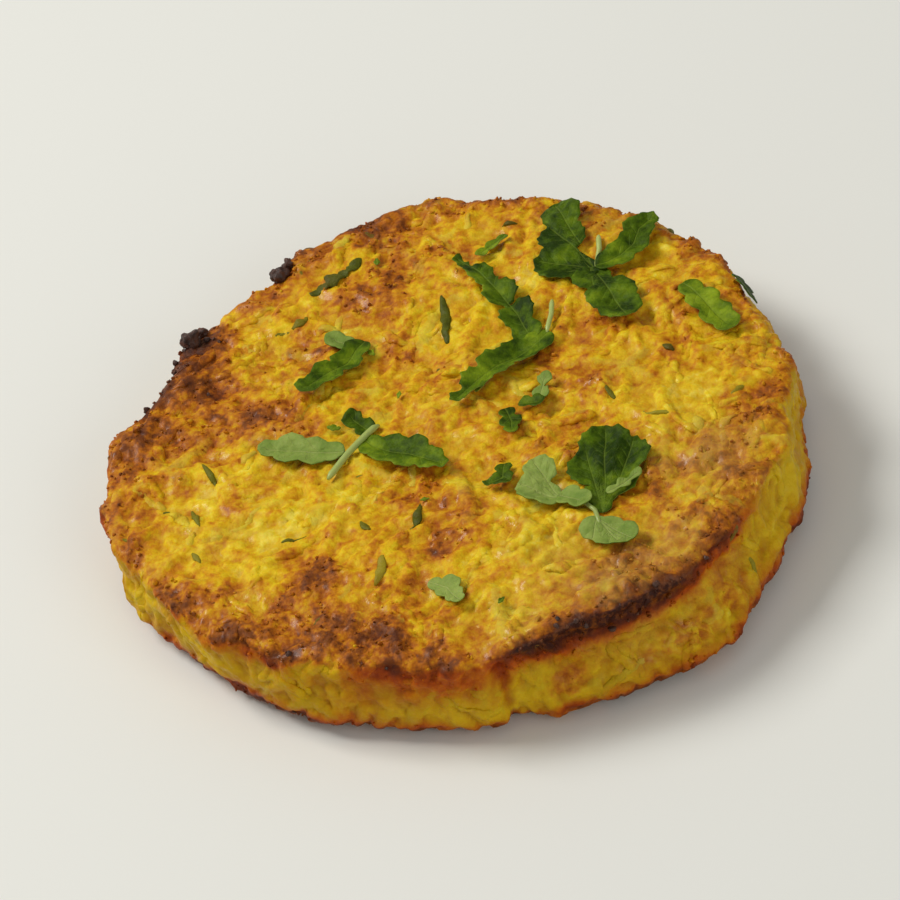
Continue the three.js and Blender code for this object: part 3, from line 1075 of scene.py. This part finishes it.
class Shader:
    """A material whose nodes are written as nested calls. Sizes are in millimetres."""

    def __init__(self, name):
        self.material = bpy.data.materials.new(name)
        self.material.use_nodes = True
        self.tree = self.material.node_tree
        self.surface = self.tree.nodes["Principled BSDF"]

    def node(self, kind, inputs=(), **settings):
        """The outputs of a new node, which is fed with numbers or with other nodes' outputs."""
        made = self.tree.nodes.new("ShaderNode" + kind)
        for name, value in settings.items():
            setattr(made, name, value)
        for socket, value in dict(inputs).items():
            self.feed(made.inputs[socket], value)
        return made.outputs

    def feed(self, socket, value):
        if isinstance(value, bpy.types.NodeSocket):
            self.tree.links.new(value, socket)
        else:
            socket.default_value = value

    def attribute(self, name):
        return self.node("Attribute", attribute_name=name)["Fac"]

    def texture(self, kind, size, **inputs):
        inputs |= {"Vector": self.node("TexCoord")["Object"], "Scale": 1 / (size * MM)}
        return self.node(kind, inputs)

    def noise(self, size, detail=4.0):
        """Noise with lumps of that size, about 0.5 on average."""
        return self.texture("TexNoise", size, Detail=detail, Roughness=0.6)["Fac"]

    def cells(self, size):
        return self.texture("TexVoronoi", size)["Distance"]

    def maths(self, operation, first, second=0.0, third=0.0, clamp=False):
        inputs = {0: first, 1: second, 2: third}
        return self.node("Math", inputs, operation=operation, use_clamp=clamp)[0]

    def times(self, first, second):
        return self.maths("MULTIPLY", first, second)

    def spread(self, value, low, high, to_low=0.0, to_high=1.0):
        inputs = {"Value": value, "From Min": low, "From Max": high, "To Min": to_low, "To Max": to_high}
        return self.node("MapRange", inputs)["Result"]

    def patchy(self, size, to_low, to_high, low=0.3, high=0.7, detail=4.0):
        """A value that differs from patch to patch, between two limits."""
        return self.spread(self.noise(size, detail), low, high, to_low, to_high)

    def ramp(self, value, stops):
        made = self.tree.nodes.new("ShaderNodeValToRGB")
        self.feed(made.inputs["Fac"], value)
        elements = made.color_ramp.elements
        while len(elements) < len(stops):
            elements.new(0.5)
        for element, (position, colour) in zip(elements, stops):
            element.position = position
            element.color = colour
        return made.outputs["Color"]

    def mix(self, share, first, second, blend="MIX"):
        inputs = {0: share, 6: first, 7: second}
        return self.node("Mix", inputs, data_type="RGBA", blend_type=blend)[2]

    def bump(self, height, distance):
        inputs = {"Height": height, "Distance": distance * MM}
        self.set(Normal=self.node("Bump", inputs)["Normal"])

    def glow(self, weight, radius, depth):
        """Light that seeps through the surface."""
        self.set(Subsurface_Weight=weight, Subsurface_Radius=radius, Subsurface_Scale=depth * MM)

    def set(self, **values):
        for name, value in values.items():
            self.feed(self.surface.inputs[name.replace("_", " ")], value)


# The colours that batter passes through as it fries.
FRYING = [
    (0.00, srgb(238, 212, 76)),
    (0.12, srgb(230, 196, 28)),
    (0.26, srgb(217, 168, 14)),
    (0.38, srgb(201, 133, 12)),
    (0.50, srgb(175, 98, 13)),
    (0.64, srgb(126, 66, 14)),
    (0.80, srgb(92, 44, 16)),
    (1.00, srgb(60, 27, 14)),
]


def toasted(shader, brown, side, grain):
    """The browning with the batter's speckles and mottling, which are calmer on the side."""
    crisp = shader.spread(brown, 0.18, 0.50, 0.75, 1.0)
    calm = shader.spread(side, 0.0, 1.0, 1.0, 0.5)
    gap = shader.spread(grain, 0.35, 0.75, 0.0, 0.10)
    fine = shader.times(shader.maths("ADD", shader.patchy(0.8, -0.12, 0.12), gap), crisp)
    uneven = shader.maths("ADD", fine, shader.patchy(2.2, -0.12, 0.12, 0.32, 0.68, detail=3))
    return shader.maths("MULTIPLY_ADD", uneven, calm, brown, clamp=True)


def fried(name, flesh=0.45):
    """Batter and shreds, from soft yellow to burnt, with pale green flesh in the soft places."""
    shader = Shader(name)
    brown, side, grain = shader.attribute("brown"), shader.attribute("side"), shader.cells(1.0)
    colour = shader.ramp(toasted(shader, brown, side, grain), FRYING)
    pale = shader.spread(shader.attribute("tone"), 0.70, 0.95, 0.0, flesh)
    soft = shader.spread(brown, 0.28, 0.46, 1.0, 0.0)
    colour = shader.mix(shader.times(pale, soft), colour, srgb(206, 186, 60))
    dry = shader.times(shader.attribute("dull"), shader.spread(brown, 0.45, 0.65, 1.0, 0.0))
    dry = shader.times(dry, shader.patchy(1.8, 0.4, 0.9, 0.3, 0.6))
    colour = shader.mix(dry, colour, srgb(176, 142, 72))
    # Pale greyish speckles on the charred crust are painted highlights of its oily sheen.
    painted_char_sheen = shader.times(shader.spread(brown, 0.64, 0.86), shader.patchy(0.9, 0.0, 0.65, 0.45, 0.62))
    colour = shader.mix(painted_char_sheen, colour, srgb(142, 98, 74))
    # Hollows of the relief are darkened and warmed: painted shade in the recesses, partly also the batter's
    # deeper orange there.
    painted_hollow_shade = shader.spread(shader.attribute("lift"), -0.55, 0.0, 0.6, 0.0)
    colour = shader.mix(painted_hollow_shade, colour, srgb(190, 124, 20), "MULTIPLY")
    warmth = shader.mix(shader.spread(brown, 0.22, 0.42), srgb(226, 212, 90), srgb(234, 180, 44))
    colour = shader.mix(side, colour, warmth, "MULTIPLY")
    oil = shader.patchy(3.5, 0.0, 0.25, 0.48, 0.66, detail=2)
    oil = shader.times(oil, shader.spread(side, 0.0, 1.0, 1.0, 0.4))
    shader.bump(shader.maths("MULTIPLY_ADD", grain, -0.55, shader.times(shader.noise(0.3), 0.5)), 0.22)
    shader.set(Base_Color=colour, Roughness=shader.patchy(1.2, 0.40, 0.62), Specular_IOR_Level=0.14)
    shader.set(Coat_Weight=oil, Coat_Roughness=0.18)
    shader.glow(0.15, (1.0, 0.42, 0.08), 1.4)
    return shader.material


def zucchini_skin():
    shader = Shader("zucchini_skin")
    streak = shader.noise(0.9)
    green = shader.mix(streak, srgb(50, 54, 3), srgb(100, 106, 8))
    pale = shader.mix(streak, srgb(160, 140, 16), srgb(186, 168, 40))
    colour = shader.mix(shader.attribute("green"), pale, green)
    fried_share = shader.spread(shader.attribute("brown"), 0.25, 0.65, 0.0, 0.8)
    colour = shader.mix(fried_share, colour, srgb(110, 62, 14))
    shader.bump(shader.noise(0.4), 0.15)
    shader.set(Base_Color=colour, Roughness=0.5, Specular_IOR_Level=0.2)
    shader.glow(0.1, (0.5, 0.6, 0.1), 1.0)
    return shader.material


def burnt():
    shader = Shader("burnt_crumbs")
    value = shader.maths("ADD", shader.attribute("burnt"), shader.patchy(0.8, -0.25, 0.2))
    colour = shader.ramp(value, [(0.2, srgb(140, 78, 32)), (0.6, srgb(88, 46, 24)), (1.0, srgb(46, 24, 16))])
    shader.bump(shader.noise(0.4, detail=5), 0.3)
    shader.set(Base_Color=colour, Roughness=0.6, Coat_Weight=0.15, Coat_Roughness=0.3)
    return shader.material


def parsley():
    shader = Shader("parsley")
    # Broad lighter and darker patches on the leaves: partly their uneven green, partly painted highlights and
    # painted shade of their folds.
    light = shader.maths("ADD", shader.attribute("light"), shader.patchy(1.6, -0.30, 0.30))
    above = shader.ramp(light, [(0.0, srgb(36, 56, 2)), (0.4, srgb(78, 102, 8)), (1.0, srgb(136, 156, 26))])
    below = shader.ramp(light, [(0.0, srgb(108, 134, 52)), (1.0, srgb(152, 168, 84))])
    main = shader.maths("ABSOLUTE", shader.attribute("vein"))
    side = shader.maths("ABSOLUTE", shader.attribute("side_vein"))
    main_line = shader.spread(main, 0.04, 0.16, 0.32, 0.0)
    line = shader.maths("MAXIMUM", main_line, shader.spread(side, 0.02, 0.11, 0.14, 0.0))
    above = shader.mix(line, above, srgb(124, 144, 50))
    below = shader.mix(line, below, srgb(178, 186, 112))
    colour = shader.mix(shader.attribute("under"), above, below)
    shader.bump(shader.maths("MULTIPLY_ADD", line, -1.2, shader.noise(0.7)), 0.20)
    shader.set(Base_Color=colour, Roughness=0.5, Specular_IOR_Level=0.08)
    shader.glow(0.1, (0.4, 0.8, 0.1), 0.5)
    return shader.material


def stalk():
    shader = Shader("parsley_stalk")
    colour = shader.mix(shader.attribute("light"), srgb(118, 138, 58), srgb(178, 190, 104))
    shader.bump(shader.noise(0.6), 0.08)
    shader.set(Base_Color=colour, Roughness=0.4, Coat_Weight=0.15, Coat_Roughness=0.25)
    shader.glow(0.2, (0.6, 0.8, 0.25), 0.8)
    return shader.material


# ---------------- studio


def make_studio():
    floor_shader = Shader("floor")
    floor_shader.set(Base_Color=srgb(231, 231, 226), Roughness=0.5)
    bpy.ops.mesh.primitive_plane_add(size=6)
    floor = bpy.context.object
    floor.name = "floor"
    floor.data.materials.append(floor_shader.material)
    world = bpy.data.worlds.new("studio")
    world.use_nodes = True
    background = world.node_tree.nodes["Background"]
    background.inputs["Color"].default_value = WORLD_COLOUR
    background.inputs["Strength"].default_value = WORLD_STRENGTH
    bpy.context.scene.world = world
    for softbox in SOFTBOXES:
        add_softbox(*softbox)
    bpy.context.scene.view_settings.view_transform = "Standard"


def add_softbox(name, place, size, power):
    """A square lamp, at a place in metres, that shines on the patty."""
    light = bpy.data.lights.new(name, "AREA")
    light.size = size
    light.energy = power
    light.color = LIGHT_COLOUR
    lamp = placed(name, light)
    lamp.location = place
    lamp.rotation_euler = Vector(place).to_track_quat("Z", "Y").to_euler()


def make_camera(low, high):
    """Looks at the middle of the patty's box, down its front, turned so that the face tilts."""
    camera = bpy.data.cameras.new("camera")
    camera.sensor_width = 36
    camera.lens = camera.sensor_width * CAMERA_DISTANCE / CAMERA_FIELD
    camera.clip_start, camera.clip_end = 0.05, 20
    elevation = math.radians(CAMERA_ELEVATION)
    back = Vector((0, -math.cos(elevation), math.sin(elevation)))
    turn = back.to_track_quat("Z", "Y").to_matrix() @ Matrix.Rotation(-math.radians(CAMERA_ROLL), 3, "Z")
    holder = placed("camera", camera)
    holder.matrix_world = Matrix.Translation((low + high) / 2 + back * CAMERA_DISTANCE * MM) @ turn.to_4x4()
    bpy.context.scene.camera = holder


# ---------------- the whole


def dress(piece, material):
    """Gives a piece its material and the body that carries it."""
    piece.data.materials.append(material)
    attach(piece, BODY)


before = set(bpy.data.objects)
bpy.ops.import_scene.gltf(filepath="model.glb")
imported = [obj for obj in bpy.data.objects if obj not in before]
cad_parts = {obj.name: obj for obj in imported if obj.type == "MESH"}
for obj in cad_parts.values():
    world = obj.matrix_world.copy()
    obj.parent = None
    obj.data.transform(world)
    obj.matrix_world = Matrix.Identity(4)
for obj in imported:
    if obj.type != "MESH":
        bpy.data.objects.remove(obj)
cad_low, cad_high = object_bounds()
make_camera(cad_low, cad_high)
make_studio()

patty = make_patty(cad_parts[SOLID], np.random.default_rng(7))
crust = Crust(patty)
crumbs = make_crumbs(crust, np.random.default_rng(11))
shreds = make_shreds(crust, np.random.default_rng(13))
cover = Cover([crust.tree, tree_over(crumbs.data), tree_over(shreds.data)])
dress(patty, fried("fried_batter"))
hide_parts(SOLID)
dress(crumbs, fried("fried_crumbs", 0.2))
dress(shreds, fried("zucchini_shreds", 0.6))
dress(make_strips(crust, np.random.default_rng(17)), zucchini_skin())
dress(make_burnt_lumps(crust, np.random.default_rng(19)), burnt())
dress(make_leaves(crust, cover, np.random.default_rng(23)), parsley())
dress(make_stalks(cover), stalk())
